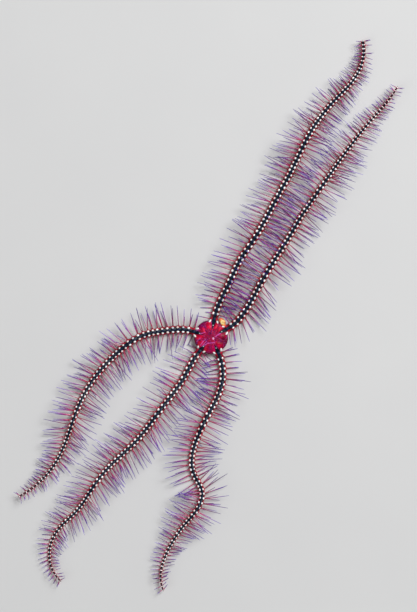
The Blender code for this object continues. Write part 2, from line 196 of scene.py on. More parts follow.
# Each arm: bearing of its root and headings at even steps along it, in degrees from +X, its length and
# segments, its arches as (share of the arm, height) and its tip's lift, where it stands clear of the floor,
# and how far its spines lean towards the tip, in degrees at the root and at the tip, right flank first
ARMS = {
    "arm_top": {
        "root": 80, "length": 116.6 * MM, "segments": 71, "taper": (0.18, 0.34),
        "headings": (80, 63, 66, 55, 61, 62, 62, 65, 59, 50, 46, 70, 101),
        "arches": ((0.27, 1.6 * MM), (0.62, 2.2 * MM)), "tip_lift": 1.2 * MM, "lean": ((4, -6), (-11, -2)),
    },
    "arm_right": {
        "root": 27, "length": 108 * MM, "segments": 66,
        "headings": (27, 55, 62, 59, 57, 60, 56, 55, 55, 53, 50, 49, 60),
        "arches": ((0.24, 1.2 * MM), (0.58, 1.8 * MM)), "tip_lift": 2.4 * MM, "lean": ((-26, 26), (0, 0)),
    },
    "arm_lower_right": {
        "root": 295, "length": 94 * MM, "segments": 58,
        "headings": (295, 274, 252, 241, 245, 252, 273, 300, 248, 230, 236, 245, 262, 292),
        "arches": ((0.30, 2.0 * MM), (0.64, 1.6 * MM)), "tip_lift": 2.0 * MM, "lean": ((0, 8), (6, -26)),
    },
    "arm_lower_left": {
        "root": 231, "length": 104 * MM, "segments": 64,
        "headings": (231, 243, 233, 233, 233, 224, 224, 234, 237, 222, 244, 280, 316),
        "arches": ((0.26, 1.4 * MM), (0.60, 2.4 * MM)), "tip_lift": 1.6 * MM, "lean": ((8, 20), (8, 22)),
    },
    "arm_left": {
        "root": 162, "length": 95 * MM, "segments": 58,
        "headings": (162, 184, 191, 213, 223, 230, 239, 248, 251, 246, 234, 220, 208),
        "arches": ((0.25, 1.8 * MM), (0.63, 1.8 * MM)), "tip_lift": 2.6 * MM, "lean": ((0, 22), (8, 14)),
    },
}
HALF_GAP = 180 / len(ARMS)  # degrees, half of the mean gap between two arms

# Flesh lets a little light in and has a soft shine
FLESH = {
    "Subsurface_Weight": 0.08, "Subsurface_Radius": (1.0, 0.2, 0.15), "Subsurface_Scale": 0.4 * MM,
    "Coat_Roughness": 0.1,
}

# The view: straight down, with the frame's height and middle on the floor
VIEW_MIDDLE = (-0.9 * MM, 11.16 * MM)
VIEW_HEIGHT = 220.3 * MM
VIEW_DISTANCE = 700 * MM

# The stage: the floor's half side in metres, each light's name, place, size and power, and the world's light
FLOOR_HALF = 4.0
LIGHTS = (("key", (0.9, 0.8, 1.5), 0.9, 40.0), ("fill", (-1.3, -0.7, 1.4), 1.4, 10.0))
LIT_PLACE = (0.0, 0.01, 0.0)
WORLD_COLOUR, WORLD_STRENGTH = (0.86, 0.88, 0.92, 1.0), 0.16


# Shapes of numbers


def ease(low, high, value):
    t = np.clip((value - low) / (high - low), 0.0, 1.0)
    return t * t * (3 - 2 * t)


def bell(value):
    """1 at 0, and next to nothing beyond 2 on either side."""
    return np.exp(-(value**2))


def read_off(pairs, value):
    return np.interp(value, *zip(*pairs))


def soft_min(values, softness):
    return -softness * np.log(sum(np.exp(-v / softness) for v in values))


def smooth_values(values, share):
    """Values at shares of a row of evenly spaced values, on a smooth curve through them."""
    values = np.asarray(values, float)
    last = len(values) - 1
    place = np.clip(share, 0.0, 1.0) * last
    i = np.minimum(place.astype(int), last - 1)
    t = place - i
    if values.ndim > 1:
        t = t[..., None]
    before, start, end = values[np.maximum(i - 1, 0)], values[i], values[i + 1]
    after = values[np.minimum(i + 2, last)]
    linear = (end - before) * t
    square = (2 * before - 5 * start + 4 * end - after) * t**2
    cube = (3 * start - before - 3 * end + after) * t**3
    return start + 0.5 * (linear + square + cube)


def unit(vectors):
    return vectors / np.linalg.norm(vectors, axis=-1, keepdims=True)


def level_way(bearing):
    """The way over the floor at a bearing, in degrees from +X."""
    angle = np.radians(bearing)
    return np.stack([np.cos(angle), np.sin(angle), np.zeros_like(angle)], -1)


def combine(*rows):
    """All combinations of the values of these rows, as flat rows."""
    return (grid.ravel() for grid in np.meshgrid(*rows, indexing="ij"))


def on_map(share):
    """A share as a place on the map, a little in from its edges."""
    return 0.01 + 0.98 * share


# Meshes


def add_object(name, data, place=(0, 0, 0), turn=(0, 0, 0)):
    made = bpy.data.objects.new(name, data)
    made.location, made.rotation_euler = place, turn
    bpy.context.scene.collection.objects.link(made)
    return made


def build_mesh(name, points, face_groups, attributes=None, uv=None):
    """A smooth mesh object. Each face group is an array with one row of corners to a face."""
    points = np.asarray(points, np.float32).reshape(-1, 3)
    corners = np.concatenate([np.asarray(g, np.int32).ravel() for g in face_groups])
    sizes = np.concatenate([np.full(len(g), np.shape(g)[1], np.int32) for g in face_groups])
    mesh = bpy.data.meshes.new(name)
    mesh.vertices.add(len(points))
    mesh.vertices.foreach_set("co", points.ravel())
    mesh.loops.add(len(corners))
    mesh.loops.foreach_set("vertex_index", corners)
    mesh.polygons.add(len(sizes))
    mesh.polygons.foreach_set("loop_start", np.append(0, np.cumsum(sizes)[:-1]).astype(np.int32))
    mesh.polygons.foreach_set("use_smooth", np.ones(len(sizes), bool))
    mesh.update(calc_edges=True)
    for key, values in (attributes or {}).items():
        layer = mesh.attributes.new(key, "FLOAT", "POINT")
        layer.data.foreach_set("value", np.asarray(values, np.float32).ravel())
    if uv is not None:
        layer = mesh.uv_layers.new(name="OFBake")
        layer.data.foreach_set("uv", np.asarray(uv, np.float32).reshape(-1, 2)[corners].ravel())
    mesh.validate()
    return add_object(name, mesh)


def grid_faces(rows, columns):
    """Quads over rows of points, each row closed on itself, outward where rows run forward and turn left."""
    row, column = np.meshgrid(np.arange(rows - 1), np.arange(columns), indexing="ij")
    a = row * columns + column
    b = row * columns + (column + 1) % columns
    return np.stack([a, b, b + columns, a + columns], -1).reshape(-1, 4)


def fan_faces(ring, point):
    """Triangles from the points of a ring to one point."""
    return np.stack([ring, np.roll(ring, -1), np.full(len(ring), point)], -1)


def rod_faces(rings, sides):
    """Faces of a rod: between its rings, from the last one to the point after it, and over the first."""
    here = np.arange(sides)
    last = (rings - 1) * sides
    return grid_faces(rings, sides), fan_faces(here + last, last + sides), here[::-1][None]


def repeat_faces(groups, copies, points):
    """Face groups for a number of like pieces with so many points each."""
    shift = (np.arange(copies) * points)[:, None, None]
    return [(group[None] + shift).reshape(-1, group.shape[1]) for group in groups]


# The course of an arm


def girth_at(arm, share):
    """Width and height of an arm against their largest. It narrows slowly, then fast near the tip."""
    evenly, late = arm.get("taper", ARM_TAPER)
    return np.maximum(1 - evenly * share - late * np.clip(share, 0, 1) ** 5, TIP_WIDTH / ARM_WIDTH)


def joint_share(arm, joint):
    """Share of the arm's length at a count of segments from the disc. They get shorter towards the tip."""
    even = np.asarray(joint, float) / arm["segments"]
    return even * (1 + SEGMENT_TAPER) - SEGMENT_TAPER * even**2


def lift_at(arm, share):
    lift = arm["tip_lift"] * ease(TIP_LIFT_FROM, 1.0, share)
    for middle, height in arm["arches"]:
        away = np.clip(np.abs(share - middle) / ARCH_REACH, 0, 1)
        lift = lift + height * (0.5 + 0.5 * np.cos(math.pi * away)) ** 2
    return lift


def course_of(arm):
    """The line under the middle of an arm, from inside the disc to the tip, by the share of its length."""
    count, lead = round(arm["length"] / STEP), round(LEAD_IN / STEP)
    share = np.arange(-lead, count + 1) / count
    heading = smooth_values(arm["headings"], np.maximum(share, 0.0))
    heading[:lead] = arm["root"]
    steps = STEP * level_way(heading)
    place = level_way(arm["root"]) * (ROOT_RADIUS - lead * STEP) + np.cumsum(steps, 0) - steps
    place[:, 2] = lift_at(arm, share)
    return {"share": share, "place": place, "heading": heading, "slope": np.gradient(place[:, 2], STEP)}


def frames_at(course, share):
    """Places under the arm's middle, with the ways forward, left and up there."""
    known = course["share"]
    place = np.stack([np.interp(share, known, course["place"][:, i]) for i in range(3)], -1)
    ahead = level_way(np.interp(share, known, course["heading"]))
    forward = unit(ahead + np.interp(share, known, course["slope"])[:, None] * UP)
    left = np.cross(UP, ahead)
    return place, forward, left, np.cross(forward, left)


# The skin of an arm


def section_loop():
    """Points round an arm as shares of its width and height, with the ways out, from below leftwards."""
    half = np.column_stack([SECTION_ACROSS, SECTION_UP])
    loop = np.concatenate([half, half[-2:0:-1] * (-1, 1), half[:1]])
    share = np.linspace(0, 1, SECTION_SAMPLES)
    dense = smooth_values(np.concatenate([loop[-2:-1], loop, loop[1:2]]), share)
    span = 1 / (len(loop) + 1)
    dense = dense[(share >= span) & (share <= 1 - span)]
    scaled = dense * (ARM_WIDTH, ARM_HEIGHT)
    walked = np.append(0, np.cumsum(np.linalg.norm(np.diff(scaled, axis=0), axis=1)))
    even = np.arange(AROUND) / AROUND * walked[-1]
    points = np.stack([np.interp(even, walked, dense[:, i]) for i in range(2)], -1)
    points[:, 1] = np.maximum(points[:, 1], 0.0)
    ahead = (np.roll(points, -1, 0) - np.roll(points, 1, 0)) * (ARM_WIDTH, ARM_HEIGHT)
    out = unit(np.stack([ahead[:, 1], -ahead[:, 0]], -1))
    return points, out


LOOP, LOOP_OUT = section_loop()


def crown_at(across):
    """Height of an arm's upper surface at a share of its width from the middle line."""
    upper = LOOP[LOOP[:, 1] > 0.5]
    order = np.argsort(upper[:, 0])
    return np.interp(across, upper[order, 0], upper[order, 1])


def plate_relief(across, above, phase):
    """How far an arm's plates stand out of its plain section, in metres."""
    side = np.abs(across)
    upper = ease(0.55, 0.7, above) * ease(PLATE_HALF + 0.05, PLATE_HALF - 0.02, side)
    local = phase + 0.20 * (side / PLATE_HALF) ** 2
    lip = 0.02 + 0.075 * ease(0.0, 0.8, local) - 0.11 * ease(0.90, 0.97, local) - 0.03 * ease(0.1, 0.0, local)
    keel = 0.03 * bell(side / 0.07) * ease(0.1, 0.5, phase) * ease(1.0, 0.8, phase)
    groove = -0.05 * bell((side - PLATE_HALF - 0.02) / 0.022) * ease(0.5, 0.65, above)
    flank = ease(0.10, 0.25, above) * ease(PLATE_HALF, PLATE_HALF + 0.05, side)
    bulge = 0.12 * bell((phase - 0.66) / 0.19) - 0.06 * bell((phase - 0.02) / 0.09)
    under = ease(0.12, 0.0, above)
    seam = -0.045 * (bell(phase / 0.05) + bell((phase - 1) / 0.05))
    edge = -0.05 * bell((side - 0.17) / 0.02)
    return (upper * (lip + keel) + groove + flank * bulge + under * (seam + edge)) * MM


def make_arm_skin(name, arm, course):
    count = arm["segments"]
    inner = np.array(TUCK_RINGS) * TUCK_FROM
    seg = np.append(inner, np.arange(count)[:, None] + RING_PHASES)
    seg = np.append(seg[seg < count - 0.4], count - np.array(TIP_RINGS))
    end = read_off([(count - before, girth) for before, girth in TIP_ROUND], seg)
    share = joint_share(arm, seg)
    phase = seg % 1.0
    swell = WAIST + (1 - WAIST) * np.sin(math.pi * phase**1.35) ** 1.2
    size = girth_at(arm, share) * swell * end
    place, _, left, up = frames_at(course, share)
    tuck = ease(0.0, TUCK_FROM, seg)
    place[:, 2] += TUCK_RISE * tuck
    size = (size * (1 - TUCK_NARROW * tuck))[:, None]
    rows = len(seg)
    across, above = (np.tile(LOOP[:, i], (rows, 1)) for i in (0, 1))
    relief = plate_relief(across, above, phase[:, None]) * size
    out_left = across * ARM_WIDTH * size + LOOP_OUT[:, 0] * relief
    out_up = np.maximum(above * ARM_HEIGHT * size + LOOP_OUT[:, 1] * relief, 0.0)
    points = place[:, None] + left[:, None] * out_left[..., None] + up[:, None] * out_up[..., None]
    quads = grid_faces(rows, AROUND)
    caps = np.array([np.arange(AROUND)[::-1], np.arange(AROUND) + (rows - 1) * AROUND])
    attributes = {"seg": np.repeat(seg, AROUND), "share": np.repeat(share, AROUND)}
    return build_mesh(name, points, [quads, caps], {"across": across, "above": above, **attributes})


# Spines


def spine_length(share):
    """Length of an arm's spines against their longest. They are short at the disc and at the tip."""
    return (0.62 + 0.38 * ease(0.0, 0.12, share)) * (1 - 0.74 * ease(0.6, 1.03, share))


def spine_table(arm, course, draw):
    """Root, way, length, girth and tone of every spine of an arm, with its place on the map."""
    count = arm["segments"]
    seg, row, side = combine(np.arange(count), np.arange(len(SPINE_ROWS)), (-1, 1))
    out, above, rise, reach, grown = (np.array(column)[row] for column in zip(*SPINE_ROWS))
    n = len(seg)
    share = joint_share(arm, seg + SPINE_PLACE + draw.uniform(-SPINE_JITTER, SPINE_JITTER, n))
    place, forward, left, up = frames_at(course, share)
    size = girth_at(arm, share)
    root = place + left * (side * out * ARM_WIDTH / 2 * size)[:, None]
    root += up * (above * ARM_HEIGHT * size)[:, None]
    root += forward * (draw.uniform(-SPINE_SLIP, SPINE_SLIP, n) * MM)[:, None]
    rise = np.radians(rise + draw.normal(0, RISE_SPREAD, n))
    at_root, at_tip = np.array(arm["lean"])[(side + 1) // 2].T
    drift = at_root + (at_tip - at_root) * share + LEAN_WAVE * np.sin(seg * 0.7 + side * 2.0)
    lean = np.radians(drift + draw.normal(0, LEAN_SPREAD, n))
    level = left * (side * np.cos(lean))[:, None] + forward * np.sin(lean)[:, None]
    way = unit(level * np.cos(rise)[:, None] + up * np.sin(rise)[:, None])
    length = SPINE_LENGTH * reach * spine_length(share) * draw.uniform(*LENGTH_SPREAD, n)
    length *= np.where(draw.random(n) < BROKEN_SHARE, draw.uniform(*BROKEN_LENGTH, n), 1.0)
    way[:, 2] = np.maximum(way[:, 2], (LOWEST_SPINE - root[:, 2]) / length)
    table = {
        "root": root,
        "way": unit(way),
        "length": length,
        "thick": 0.62 + 0.38 * size,
        "tone": draw.random(n),
        "map": np.column_stack([on_map(np.clip(share, 0, 1)), 0.5 + side * (0.06 + 0.085 * row)]),
        "share": share,
    }
    keep = (np.linalg.norm(root[:, :2], axis=1) > FIRST_SPINE) & (draw.random(n) < grown)
    return {key: values[keep] for key, values in table.items()}


def body_line(arm, course):
    """Places along the middle of an arm's body, with half its width and the share of the arm there."""
    share = course["share"][::3]
    place, _, _, up = frames_at(course, share)
    girth = girth_at(arm, share)
    return place + up * (ARM_HEIGHT / 2 * girth)[:, None], ARM_WIDTH / 2 * girth, share


def clear_of_bodies(table, name, lines):
    """Shortens each spine that would run into an arm, and leaves out one that has no room."""
    steps = np.linspace(0.1, 1.0, 16)
    samples = table["root"][:, None] + (table["way"] * table["length"][:, None])[:, None] * steps[:, None]
    blocked = np.zeros(samples.shape[:2], bool)
    for other, (places, half, share) in lines.items():
        away = np.linalg.norm(samples[:, :, None] - places, axis=-1)
        hit = away < half + CLEARANCE
        if other == name:
            hit &= np.abs(share - table["share"][:, None])[:, None] > OWN_STRETCH
        blocked |= hit.any(-1)
    first = np.where(blocked.any(1), np.argmax(blocked, 1), len(steps))
    room = np.where(first < len(steps), steps[np.maximum(first - 1, 0)], 1.0)
    table["length"] = table["length"] * room
    keep = (table["length"] > SHORTEST_SPINE) & (first > 0)
    return {key: values[keep] for key, values in table.items()}


def disc_spines(draw):
    """A table of short spines that stand on the disc, clear of its shields, its stripes and its marks."""
    tries = SPINELETS * 4
    radius = LOBE_RADIUS * np.sqrt(draw.uniform(0.01, 0.92, tries))
    bearing = draw.uniform(0, 360, tries)
    turn, wedge, half = wedge_at(bearing)
    line = np.abs(radius * np.sin(np.radians(turn)))
    free = (shield_edge(radius, wedge, half) < -0.15 * MM) & (radius < TOP_SHARE * margin_radius(turn))
    free &= (line > 0.9 * MM) | (radius < 2.4 * MM)
    radius, bearing, turn, wedge, half = (v[free][:SPINELETS] for v in (radius, bearing, turn, wedge, half))
    n = len(radius)
    out = level_way(bearing)
    root = out * radius[:, None]
    root[:, 2] = top_height(radius, turn, wedge, half)
    way = unit(out * (0.25 + radius / LOBE_RADIUS)[:, None] + 0.8 * UP + draw.normal(0, 0.25, (n, 3)))
    return {
        "root": root,
        "way": way,
        "length": draw.uniform(*SPINELET_LENGTH, n),
        "thick": np.full(n, SPINELET_THICK),
        "tone": draw.random(n),
        "map": np.column_stack([on_map(bearing / 360), on_map(radius / LOBE_RADIUS)]),
    }


def make_spines(name, table, draw, thorns=THORNS):
    """Tapered, gently bowed shafts with small thorns, as one mesh."""
    root, way, length, thick = (table[key] for key in ("root", "way", "length", "thick"))
    n, rings = len(root), len(SPINE_ALONG)
    along, shape = np.array(SPINE_ALONG), np.array(SPINE_GIRTH)
    side = unit(np.cross(way, np.where(np.abs(way[:, 2:]) > 0.9, (1.0, 0, 0), (0, 0, 1.0))))
    over = np.cross(side, way)
    bow = side * draw.normal(0, 0.018, n)[:, None] + over * draw.normal(0.01, 0.02, n)[:, None]
    radius = SPINE_RADIUS * thick

    def centre(t):
        return root[:, None] + (way * length[:, None])[:, None] * t + (bow * length[:, None])[:, None] * t * t

    def around(angle):
        return np.cos(angle)[..., None] * side[:, None] + np.sin(angle)[..., None] * over[:, None]

    turn = 2 * math.pi * np.arange(SPINE_SIDES) / SPINE_SIDES
    middle = centre(along[None, :, None])
    shaft = middle[:, :, None] + around(turn)[:, None] * (radius[:, None] * shape)[:, :, None, None]
    tip = centre(np.ones((1, 1, 1)))
    place = np.linspace(0.1, 0.9, thorns)
    out = around(np.arange(thorns) * THORN_TURN + draw.uniform(0, 6.28, (n, 1)))
    ahead = np.broadcast_to(way[:, None], out.shape)
    beside = np.cross(ahead, out)
    held = radius[:, None] * np.interp(place, along, shape) * 0.8
    foot = centre(place[None, :, None]) + out * held[..., None]
    base, height = THORN_BASE * thick[:, None, None], THORN_HEIGHT * thick[:, None, None]
    back, front = foot - ahead * base * 0.7, foot + ahead * base * 0.7
    point = foot + out * height + ahead * base * 1.1
    thorn = np.stack([back - beside * base * 0.4, back + beside * base * 0.4, front, point], 2)
    points = np.concatenate([shaft.reshape(n, -1, 3), tip, thorn.reshape(n, -1, 3)], 1)
    points[..., 2] = np.maximum(points[..., 2], LOWEST_POINT)
    count = points.shape[1]
    quads, fan, cap = rod_faces(rings, SPINE_SIDES)
    feet = rings * SPINE_SIDES + 1 + 4 * np.arange(thorns)
    thorn_faces = [np.stack([feet + a, feet + b, feet + 3], -1) for a, b in ((0, 1), (1, 2), (2, 0))]
    groups = repeat_faces((quads, fan, np.concatenate(thorn_faces), cap), n, count)
    t = np.concatenate([np.repeat(along, SPINE_SIDES), [1.0], np.repeat(place, 4)])
    spin = np.append(np.tile(turn, rings), np.zeros(1 + 4 * thorns)) / (2 * math.pi)
    uv = table["map"][:, None] + PATCH * np.stack([spin, np.clip(t, 0, 1)], -1)
    attributes = {"along": np.tile(t, n), "tone": np.repeat(table["tone"], count)}
    return build_mesh(name, points, groups, attributes, uv)


# Beads


def make_beads(name, places, ahead, up, halves, tones, rings=6, sides=14):
    """Low oval beads, sunk a little into the skin."""
    ahead, up = unit(ahead), unit(up)
    places, halves = np.asarray(places), np.asarray(halves)
    tilt = (np.linspace(BEAD_FOOT, 1.0, rings + 1)[:-1] * math.pi / 2)[:, None, None]
    turn = (2 * math.pi * np.arange(sides) / sides)[:, None]
    shape = (np.cos(tilt) * np.cos(turn), np.cos(tilt) * np.sin(turn), np.sin(tilt))
    points = places[:, None, None]
    for axis, half, reach in zip((ahead, np.cross(up, ahead), up), halves.T, shape):
        points = points + (axis * half[:, None])[:, None, None] * reach
    crown = places + up * halves[:, 2:]
    n = len(places)
    points = np.concatenate([points.reshape(n, -1, 3), crown[:, None]], 1)
    count = points.shape[1]
    groups = repeat_faces(rod_faces(rings, sides), n, count)
    return build_mesh(name, points, groups, {"tone": np.repeat(tones, count)})


def arm_beads(arm, course, draw):
    """A pair of beads on every segment but the first, wider and shorter near the tip."""
    count = arm["segments"]
    seg, side = combine(np.arange(1, count), (-1, 1))
    n = len(seg)
    share = joint_share(arm, seg + BEAD_PLACE + draw.uniform(-0.04, 0.04, n))
    place, forward, left, up = frames_at(course, share)
    size = girth_at(arm, share)
    bar = ease(BAR_FROM - 0.02, BAR_FROM + 0.03, share)
    across = side * BEAD_OUT * (1 - 0.2 * bar) * (1 + draw.normal(0, 0.04, n))
    grow = size**0.5 * draw.uniform(0.84, 1.12, n)
    halves = BEAD_HALF * grow[:, None]
    halves[:, 1] *= 1 + 0.2 * bar
    halves[:, 0] *= 1 - 0.3 * bar
    surface = place + left * (across * ARM_WIDTH * size)[:, None]
    surface += up * (crown_at(across) * ARM_HEIGHT * size + 0.02 * MM)[:, None]
    out = unit(up + left * (across * 1.1)[:, None])
    return surface, forward, out, halves, draw.random(n)


def make_amber(name):
    """A soft swelling of a few rounded lobes on the disc's margin."""
    way = unit(AMBER_WAY)
    across = np.cross(UP, way)
    lobes = np.array(AMBER_LOBES) * MM
    places = AMBER_MIDDLE + lobes[:, :1] * way + lobes[:, 1:2] * across
    count = len(lobes)
    ahead, up = np.tile(way, (count, 1)), np.tile((0.25, 0.35, 1.0), (count, 1))
    return make_beads(name, places, ahead, up, lobes[:, 2:], np.zeros(count), rings=16, sides=32)


# The disc


def wedge_at(bearing):
    """Signed degrees from the nearest arm's line, the share of the way from there to the middle between two
    arms, and that way in degrees."""
    roots = np.array([arm["root"] for arm in ARMS.values()], float)
    turns = (bearing[..., None] - roots + 180) % 360 - 180
    nearest = np.argmin(np.abs(turns), -1)
    turn = np.take_along_axis(turns, nearest[..., None], -1)[..., 0]
    side = np.where(turn < 0, -1.0, 1.0)
    gaps = (side[..., None] * (roots - roots[nearest][..., None])) % 360
    half = np.where(gaps > 0, gaps, 360).min(-1) / 2
    return turn, np.abs(turn) / half, half


def margin_radius(turn):
    return SHOULDER_RADIUS + (LOBE_RADIUS - SHOULDER_RADIUS) * ease(LOBE_FROM, HALF_GAP, np.abs(turn))


def shield_edge(radius, wedge, half):
    """Distance inside the outline of a radial shield, less than zero outside it."""
    across = radius * np.radians(half)
    inner, outer = read_off(SHIELD_INNER, radius / MM), read_off(SHIELD_OUTER, radius / MM)
    end = read_off(SHIELD_END, wedge) * MM
    parts = ((wedge - inner) * across, (outer - wedge) * across, radius - SHIELD_START, end - radius)
    return soft_min(parts, SHIELD_ROUND)


def top_height(radius, turn, wedge, half):
    """Height of the disc's upper side, with its shields, its saddles over the arms and its middle scales."""
    share = np.minimum(radius / SHOULDER_RADIUS, 1.15)
    height = DISC_HEIGHT - (DISC_HEIGHT - MARGIN_HEIGHT) * share**2.4
    edge = shield_edge(radius, wedge, half)
    height = height + 0.20 * MM * ease(-0.04 * MM, 0.2 * MM, edge)
    height += 0.14 * MM * ease(0.1 * MM, 0.9 * MM, edge)
    height -= 0.05 * MM * bell((edge + 0.1 * MM) / (0.09 * MM))
    line = radius * np.sin(np.radians(turn))
    height -= 0.42 * MM * bell(line / (1.25 * MM)) * ease(3.6 * MM, 5.9 * MM, radius)
    centre = 0.10 * MM * ease(0.75 * MM, 0.55 * MM, radius)
    petals = 0.06 * MM * ease(0.8 * MM, 1.0 * MM, radius) * ease(1.95 * MM, 1.75 * MM, radius)
    return height + centre + petals * np.cos(math.pi * wedge / 2)


def sole_seam(radius, turn, half):
    """Distance from the nearest seam between the plates of the underside."""
    line = np.abs(radius * np.sin(np.radians(turn)))
    aside = np.radians(half - np.abs(turn))
    across = radius * np.sin(aside) / (ORAL_ACROSS * half / HALF_GAP)
    along = (radius * np.cos(aside) - ORAL_PLACE) / ORAL_ALONG
    shield = np.abs(np.hypot(across, along) - 1) * ORAL_ALONG
    plates = np.abs((radius - MOUTH_OUTER) % BAND_PLATE - BAND_PLATE / 2)
    band = np.where(line < BAND_HALF, np.minimum(plates, BAND_HALF - line), line - BAND_HALF)
    return np.where(radius > MOUTH_OUTER, np.minimum(shield, band), shield)


def under_height(radius, turn, half):
    """Height of the underside, flat but for the mouth, the slits between the jaws and the plates' seams."""
    line = np.abs(radius * np.sin(np.radians(turn)))
    slit = ease(MOUTH_WIDTH / 2 + 0.08 * MM, MOUTH_WIDTH / 2 - 0.08 * MM, line)
    slit = slit * ease(MOUTH_OUTER + 0.1 * MM, MOUTH_OUTER - 0.2 * MM, radius)
    hole = ease(MOUTH_INNER + 0.15 * MM, MOUTH_INNER - 0.15 * MM, radius)
    seam = bell(sole_seam(radius, turn, half) / SEAM_HALF) * ease(SOLE_RADIUS, 0.9 * SOLE_RADIUS, radius)
    return np.maximum(MOUTH_DEPTH * np.maximum(slit, hole), SEAM_RISE * seam)


def disc_profile(turn, wedge, half):
    """Radius and height of the disc's rings, from the middle of the top over the side to the mouth."""
    margin = margin_radius(turn)
    even = np.ones_like(margin)
    out = TOP_SHARE * margin * np.arange(1, TOP_RINGS + 1)[:, None] / TOP_RINGS
    top = top_height(out, turn, wedge, half)
    rim = top[-1]
    side = (
        (0.86 * margin, rim),
        (TOP_SHARE * margin, rim),
        (0.985 * margin, rim - 0.26 * MM),
        (margin, 1.6 * MM * even),
        (0.96 * margin, 0.8 * MM * even),
        (0.87 * margin, 0.2 * MM * even),
        (SOLE_RADIUS * even, 0 * even),
        (0.9 * SOLE_RADIUS * even, 0 * even),
    )
    spans = len(side) - 1
    steps = np.arange(1, (spans - 2) * SIDE_STEPS + 1) / SIDE_STEPS
    down = smooth_values(np.reshape(side, (len(side), -1)), (1 + steps) / spans).reshape(len(steps), 2, -1)
    back = SOLE_RADIUS * (1 - np.arange(1, UNDER_RINGS + 1)[:, None] / (UNDER_RINGS + 1)) * even
    under = under_height(back, turn, half)
    return np.concatenate([out, down[:, 0], back]), np.concatenate([top, np.maximum(down[:, 1], 0.0), under])


def scale_pattern(radius, height, ways):
    """Distance from the nearest scale's edge, and a tone for each scale, on the disc's top and side."""
    run = np.hypot(np.diff(radius, axis=0), np.diff(height, axis=0)).mean(1)
    out = radius[0].mean() + np.append(0, np.cumsum(run))
    reach = out[-UNDER_RINGS]
    count = round((reach / SCALE_SIZE) ** 2 * math.pi)
    draw = np.random.default_rng(SEED)
    i = np.arange(count)
    seeds = (reach * np.sqrt((i + 0.5) / count))[:, None] * level_way(i * GOLDEN_ANGLE)
    seeds[:, :2] += draw.normal(0, SCALE_JITTER, (count, 2))
    tones = draw.random(count)
    tree = KDTree(count)
    for place, seed in enumerate(seeds):
        tree.insert(seed, place)
    tree.balance()
    edge, tone = np.zeros(radius.shape), np.zeros(radius.shape)
    for ring in range(len(radius) - UNDER_RINGS):
        for column, way in enumerate(ways):
            (_, near, first), (_, _, second) = tree.find_n(out[ring] * way, 2)
            edge[ring, column] = second - first
            tone[ring, column] = tones[near]
    return edge, tone


def make_disc_skin(name):
    bearing = np.arange(DISC_AROUND) * 360 / DISC_AROUND
    turn, wedge, half = wedge_at(bearing)
    radius, height = disc_profile(turn, wedge, half)
    ways = level_way(bearing)
    edge = shield_edge(radius, wedge, half)
    upper = np.zeros(radius.shape)
    upper[: TOP_RINGS + 2 * SIDE_STEPS] = 1
    edge[len(radius) - UNDER_RINGS :] = -MM
    scale, tone = scale_pattern(radius, height, ways)
    line = radius * np.sin(np.radians(turn))
    off_stripe = ease(0.7 * MM, 1.0 * MM, np.abs(line) + ease(3.6 * MM, 2.6 * MM, radius) * MM)
    bare = ease(0.0, -0.1 * MM, edge) * off_stripe
    raised = SCALE_HEIGHT * ease(0.0, 0.16 * MM, scale) * bare
    top = ease(0.95, 0.75, radius / margin_radius(turn)) * (np.arange(len(radius)) < TOP_RINGS)[:, None]
    radius, height = radius + raised * (1 - top) * upper, height + raised * top
    points = radius[..., None] * ways + height[..., None] * UP
    crown = top_height(np.zeros(1), turn[:1], wedge[:1], half[:1])[0]
    pole = under_height(np.zeros(1), turn[:1], half[:1])[0]
    points = np.concatenate([points.reshape(-1, 3), [(0, 0, crown), (0, 0, pole)]])
    ring, count = np.arange(DISC_AROUND), radius.size
    fans = fan_faces(ring, count), fan_faces(count - 1 - ring, count + 1)
    quads = grid_faces(len(radius), DISC_AROUND)[:, ::-1]
    shares = {
        "edge": (edge / MM, (-1, -1)),
        "line": (line / MM, (0, 0)),
        "reach": (radius / MM, (0, 0)),
        "upper": (upper, (1, 0)),
        "scale": (scale / MM, (0, 0)),
        "tone": (tone, (0, 0)),
        "seam": (sole_seam(radius, turn, half) / MM, (1, 1)),
    }
    attributes = {key: np.append(*values) for key, values in shares.items()} | disc_colours(points)
    return build_mesh(name, points, [quads, *fans], attributes)


def line_distance(level, line):
    """Distance of points to a run of straight pieces."""
    nearest = np.full(len(level), np.inf)
    for start, end in zip(line, line[1:]):
        start, run = np.array(start), np.subtract(end, start)
        t = np.clip((level - start) @ run / (run @ run), 0, 1)
        nearest = np.minimum(nearest, np.linalg.norm(level - start - t[:, None] * run, axis=1))
    return nearest


def disc_colours(points):
    """Shares of lilac line, pale spot, brightness (painted highlight and painted shade) and violet over the
    disc.
    """
    level = points[:, :2] / MM
    lines = [ease(LINE_HALF * 1.7, LINE_HALF * 0.5, line_distance(level, line)) for line in LILAC_LINES]
    x, y, reach = PALE_SPOT
    spot = ease(reach * 1.3, reach * 0.6, np.hypot(level[:, 0] - x, level[:, 1] - y))
    glow = violet = 0
    for x, y, reach, painted_light, purple in PATCHES:
        near = bell(np.hypot(level[:, 0] - x, level[:, 1] - y) / reach)
        glow, violet = glow + painted_light * near, violet + purple * near
    return {"lilac": np.max(lines, 0), "spot": spot, "glow": glow, "violet": violet}


def disc_marks(draw):
    """Two long white marks where each arm leaves the disc, and a small grey dot on its stripe there."""
    marks = []
    for arm in ARMS.values():
        out = level_way(arm["root"])
        left = np.cross(UP, out)
        for side in (-1, 1):
            inner, outer = (out * a + left * side * b + UP * c for a, b, c in MARK_ENDS)
            way = unit(outer - inner)
            over = np.cross(way, np.cross(UP + out * 0.3, way))
            half = np.array(MARK_HALF) * draw.uniform(0.88, 1.08)
            marks.append(((inner + outer) / 2, way, over, half, MARK_TONE))
        height = top_height(np.array([DOT_RADIUS]), np.zeros(1), np.zeros(1), np.array([HALF_GAP]))[0]
        marks.append((out * DOT_RADIUS + UP * height, out, UP, np.array(DOT_HALF), DOT_TONE))
    return zip(*marks)


# Materials


